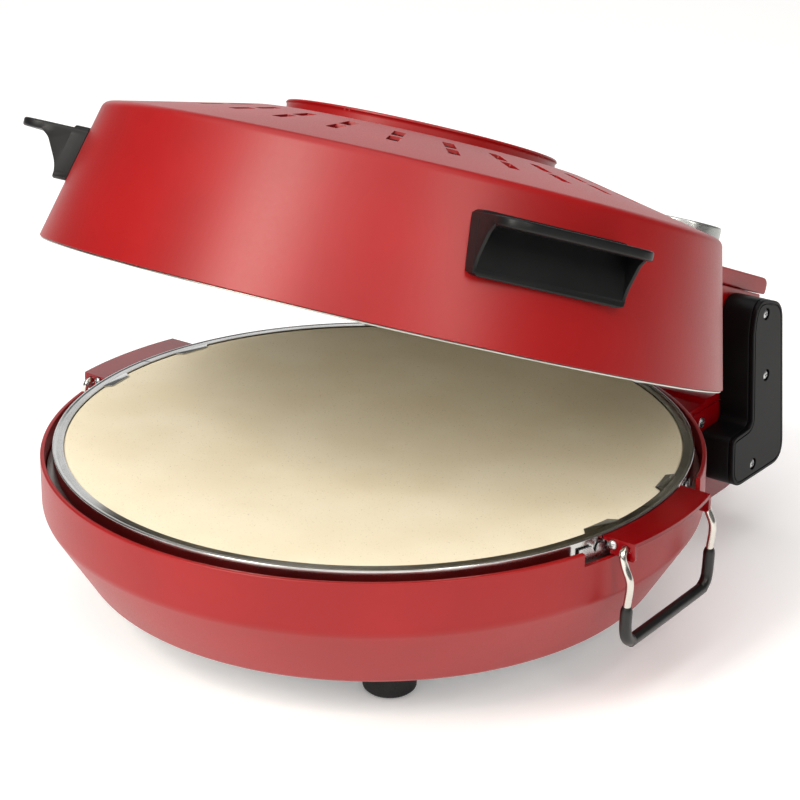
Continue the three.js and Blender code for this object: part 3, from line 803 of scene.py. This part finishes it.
def side_screw():
    return aimed(cross_head(3, 0.75), (HALF_WIDTH + 0.05, 141, 71.3), (1, 0, 0))


def tab_screw():
    return aimed(cross_head(2.2, 1.6), (162.2, -34.75, 83.2), (0, -1, 0))


makers = [
    ("arm_body", arm_shell, ARM_BLACK_PAINTED_SHADE, "hinge_arms", "arm_shell", "black_plastic"),
    ("arm_face", arm_cover, ARM_BLACK_PAINTED_SHADE, "hinge_arms", "arm_cover", "black_plastic"),
    ("bracket", bracket, GLOSS_RED, "base", "bail_bracket", "gloss_red_paint"),
    ("wire", bail_wire, WIRE, "bail", "bail_wire", "bright_wire"),
    ("grip", bail_grip, GRIP, "bail", "bail_grip", "grip_plastic"),
]
for place, (y, z) in COVER_SCREWS.items():
    makers.append(
        (
            "cover_screw_" + place,
            lambda y=y, z=z: aimed(cross_head(2.6, 1.1), (ARM_OUTER - 1.35, y, z), (1, 0, 0)),
            STEEL, "hinge_arms", "arm_screw_" + place, "plain_steel",
        )
    )
makers.append(("side_screw", side_screw, STEEL, "base", "housing_screw", "plain_steel"))
makers.append(("tab_screw", tab_screw, STEEL, "base", "bracket_screw", "plain_steel"))
for name, make, material, body, node, slot in makers:
    right = make()
    left = mirrored(right)
    for side, bm in (("right", right), ("left", left)):
        rides = body + "_" + side if body == "bail" else body
        piece(name + "_" + side, bm, BASE, material, rides, [node + "_" + side])

# ---- lid ----

outer_line = [(LID_RADIUS, 0, 0.4), (*SHOULDER, 3.3), (*PLATEAU, 4), (0, PLATEAU[1])]
inner_line = [
    (0, PLATEAU[1] - 1.5), (PLATEAU[0], PLATEAU[1] - 1.5, 4), (SHOULDER[0] - 1.5, SHOULDER[1] - 1.4, 2.4),
    (LID_RADIUS - 1.5, 0),
]
lid_profile = rounded(outer_line + inner_line, 8)


def lid_envelope(offset):
    k = offset
    points = [
        (0, -30), (LID_RADIUS + k, -30), (LID_RADIUS + k, 0), (SHOULDER[0] + k, SHOULDER[1] + k * 0.7, 3.3),
        (PLATEAU[0], PLATEAU[1] + k, 4), (0, PLATEAU[1] + k),
    ]
    return lathe(rounded(points, 8), 216)


lid_body = lathe(lid_profile, 216)
slots = []
for i in range(VENT_COUNT):
    azimuth = VENT_START + i * TAU / VENT_COUNT
    for radius in VENT_CIRCLES:
        x, y = radius * math.cos(azimuth), radius * math.sin(azimuth)
        if math.hypot(x - KNOB_PLACE[0], y - KNOB_PLACE[1]) < KNOB_CLEARANCE:
            continue
        outline = rounded([(-6, -2.8, 0.8), (6, -2.8, 0.8), (6, 2.8, 0.8), (-6, 2.8, 0.8)], 3)
        slot = prism(outline, 70, 100, "Z")
        slots.append(moved(slot, Matrix.Translation((x, y, 0)) @ Matrix.Rotation(azimuth, 4, "Z")))
lid_body = combine(lid_body, joined(*slots))
lid_body = combine(lid_body, disc("Z", KNOB_PLACE, 60, 95, 20.9, 64))
piece("lid_dome", lid_body, LID, RED, "lid", ["lid_shell"], profile=lid_profile)

pocket_profile = rounded(
    [(3.8, 67), (21.8, 67, 1.5), (21.8, 90), (20.3, 90), (20.3, 68.5, 2), (3.8, 68.5)], 6
)
pocket = moved(lathe(pocket_profile, 96), Matrix.Translation((*KNOB_PLACE, 0)))
pocket = combine(pocket, lid_envelope(0.06), "INTERSECT")
piece("knob_pocket", pocket, LID, RED, "lid")

ring_line = rounded(
    [
        (RING_OUTER - 7, 86.2), (RING_OUTER - 0.4, 86.2, 0.3), (RING_OUTER - 0.4, 90, 1), (RING_OUTER, 90.4, 0.3),
        (RING_OUTER, RING_TOP, 0.9), (RING_OUTER - 7, RING_TOP, 0.9),
    ],
    5,
)
stand = lathe(ring_line, 192)
grooves = []
for k in range(4):
    for a in (math.radians(-87.4 + 90 * k), math.radians(-85.2 + 90 * k)):
        x, y = (RING_OUTER + 0.2) * math.cos(a), (RING_OUTER + 0.2) * math.sin(a)
        grooves.append(disc("Z", (x, y), 84, 93, 0.55, 12))
stand = combine(stand, joined(*grooves))
piece("lid_stand", stand, LID, RED, "lid", ["stand_ring"])

liner_profile = rounded(
    [
        (0, 55.3), (149.2, 55.3, 5), (159.2, 39.6, 3), (168.2, -1, 0.5), (171.2, -1, 0.3), (171.2, -0.35),
        (169.2, -0.35, 0.5), (160.2, 40, 3), (149.8, 56.3, 5), (0, 56.3),
    ],
    6,
)
piece("lid_lining", lathe(liner_profile), LID, LINER, "lid", ["lid_liner"])

box_outline = rounded([(100, 18), (183, 18, 6), (189.4, 26, 4), (189.4, 51.2), (100, 51.2)])
hinge_box = prism(box_outline, -HALF_WIDTH, HALF_WIDTH, "X", 0.8)
hinge_box = combine(hinge_box, block(-half, half, 60, 186.6, 21, 80))
hinge_box = combine(hinge_box, disc("X", UPPER_PIVOT_LID, -200, 200, 3.5))
hinge_box = combine(hinge_box, lid_envelope(0.3))
piece("hinge_box", hinge_box, LID, RED, "lid", ["lid_hinge_box"])

cap_outline = rounded([(100, 51.6), (195, 51.6, 1.5), (196, 60.6, 6), (100, 60.6)])
hinge_cap = prism(cap_outline, -HALF_WIDTH, HALF_WIDTH, "X", 1.1, 4)
hinge_cap = combine(hinge_cap, lid_envelope(0.3))
piece("hinge_cap", hinge_cap, LID, RED, "lid", ["lid_hinge_cap"])


def handle():
    """Shelf handle: a back plate with rounded corners, a shelf along its top and a web at each end."""
    side = rounded([(150, 28.1), (168.6, 28.1, 0.4), (168.9, 28.9, 0.4), (164.4, 50.5), (163, 56), (150, 56)])
    plate = prism(side, -37.4, 37.4, "X")
    face = rounded([(-37, 28.1, 4.5), (37, 28.1, 4.5), (37, 56, 4.5), (-37, 56, 4.5)], 6)
    plate = flatten(combine(plate, prism(face, 140, 200, "Y"), "INTERSECT"))
    soften(plate, 0.4, 3, 40)
    plan = rounded(
        [
            (-36.9, 150), (36.9, 150), (36.9, 172), (36.5, HANDLE_REACH, 13), (-36.5, HANDLE_REACH, 13),
            (-36.9, 172),
        ],
        14,
    )
    shelf = prism(plan, 50.3, 54.6, "Z", 1.1, 4)
    web = rounded(
        [
            (155, 29.6), (168.4, 29.2, 0.4), (168.6, 35, 4), (175, 47.4, 1.5), (179.5, 50.9), (176, 53),
            (155, 53),
        ]
    )
    webs = [prism(web, x, x + 1.6, "X", 0.3, 2) for x in (-36.9, 35.3)]
    body = combine(plate, shelf, "UNION")
    for part in webs:
        body = combine(body, part, "UNION")
    body = combine(body, lid_envelope(0.3))
    return moved(body, Matrix.Rotation(HANDLE_AZIMUTH - math.pi / 2, 4, "Z"))


right = handle()
left = mirrored(right)
piece("grab_handle_right", right, LID, BLACK, "lid", ["handle_right"])
piece("grab_handle_left", left, LID, BLACK, "lid", ["handle_left"])

knob_profile = rounded(
    [
        (3.4, 68.9), (18.4, 68.9, 0.5), (18.5, 70.2, 0.4), (18.5, 76.5, 1.1), (17.7, 76.5, 0.2),
        (14.6, 76.5, 0.3), (14, 76.1, 0.3), (0, 76.1), (0, 72.8), (3.4, 72.8),
    ],
    5,
)
knob = moved(lathe(knob_profile, 96), Matrix.Translation((*KNOB_PLACE, 0)))
pointer = block(-0.6, 0.6, 7, 13, 75.7, 77.5)
knob = combine(knob, moved(pointer, Matrix.Translation((*KNOB_PLACE, 0))))
piece("dial_knob", knob, LID, SILVER, "knob", ["control_knob"])


def heater(radius, height, drop):
    line = [(12, radius - 1, height + drop), (13, radius - 0.5, height + drop * 0.4)]
    for i in range(33):
        a = math.pi / 2 - 0.14 - (i / 32) * (TAU - 0.28)
        line.append((radius * math.cos(a), radius * math.sin(a), height))
    line += [(-13, radius - 0.5, height + drop * 0.4), (-12, radius - 1, height + drop)]
    return tube(catmull(line, 6), 3.1, 20)


piece("top_heater", heater(130, 45, 11), LID, SHEATH, "lid", ["upper_element"])
piece("bottom_heater", heater(105, 57, -13), BASE, SHEATH, "base", ["lower_element"])
strap_line = catmull([(126, 0, 55), (126, 0, 44), (130, 0, 40.9), (134, 0, 44), (134, 0, 55)], 8)
for i in range(3):
    a = math.radians(120 * i - 60)
    strap = tube(strap_line, 0.8, 10)
    moved(strap, Matrix.Rotation(a, 4, "Z"))
    piece("heater_strap_%d" % i, strap, LID, STEEL, "lid")

# ---- finishes of the frame's own parts that stay in view ----

KEPT = {
    CERAMIC: ("lower_element_block", "upper_element_block", "terminal_block"),
    RUBBER: ("cord_gland", "arm_lead"),
    STEEL: (
        "thermal_cutout", "thermostat", "lower_pivot_right", "lower_pivot_left", "upper_pivot_right",
        "upper_pivot_left", "lower_washer_right", "lower_washer_left", "upper_washer_right", "upper_washer_left",
    ),
}
for material, kept_nodes in KEPT.items():
    for node in kept_nodes:
        for holder in frame["nodes"][node].material_slots:
            holder.material = material

# ---- stage, light and camera ----

floor = bmesh.new()
bmesh.ops.create_grid(floor, x_segments=8, y_segments=8, size=9)
mesh = bpy.data.meshes.new("floor")
floor.to_mesh(mesh)
floor.free()
mesh.materials.append(FLOOR)
ground = bpy.data.objects.new("floor", mesh)
ground.location.z = -0.0004
bpy.context.scene.collection.objects.link(ground)

world = bpy.data.worlds.new("studio")
world.use_nodes = True
world.node_tree.nodes["Background"].inputs["Color"].default_value = (1, 1, 1, 1)
world.node_tree.nodes["Background"].inputs["Strength"].default_value = 0.15
bpy.context.scene.world = world

CAMERA = Vector((0.56251, -0.73642, 0.46156))
CAMERA_BACK = Vector((0.5927, -0.7538, 0.2838)).normalized()


def softbox(name, place, target, width, height, power, tint=(1, 1, 1)):
    light = bpy.data.lights.new(name, "AREA")
    light.shape = "RECTANGLE"
    light.size = width
    light.size_y = height
    light.energy = power
    light.color = tint
    lamp = bpy.data.objects.new(name, light)
    lamp.location = place
    lamp.rotation_euler = (Vector(target) - Vector(place)).to_track_quat("-Z", "Y").to_euler()
    lamp.visible_camera = False
    bpy.context.scene.collection.objects.link(lamp)


CENTRE = (0, 0, 0.13)
softbox("overhead", (-0.2, -0.5, 2.6), CENTRE, 3.6, 3.6, 64, (1, 0.99, 0.98))
softbox("front_left", (-0.42, -2.3, 2.0), (0, 0, 0.2), 0.9, 1.5, 58, (1, 0.95, 0.87))
softbox("front_right", (2.1, -0.95, 1.75), (0, 0, 0.2), 0.6, 1.3, 23, (1, 0.96, 0.9))
softbox("fill", (0.9, -2.6, 1.5), CENTRE, 3.2, 1.8, 21, (1, 0.97, 0.93))
softbox("back", (-1.5, 2.5, 0.75), CENTRE, 4.2, 1.4, 17)

camera_data = bpy.data.cameras.new("camera")
camera_data.sensor_width = 36
camera_data.lens = 87.19
camera_data.shift_x = 0.0332
camera_data.shift_y = -0.2169
camera_data.clip_start = 0.01
camera_data.clip_end = 50
camera = bpy.data.objects.new("camera", camera_data)
camera.location = CAMERA
camera.rotation_euler = CAMERA_BACK.to_track_quat("Z", "Y").to_euler()
bpy.context.scene.collection.objects.link(camera)
bpy.context.scene.camera = camera
bpy.context.scene.view_settings.view_transform = "Standard"
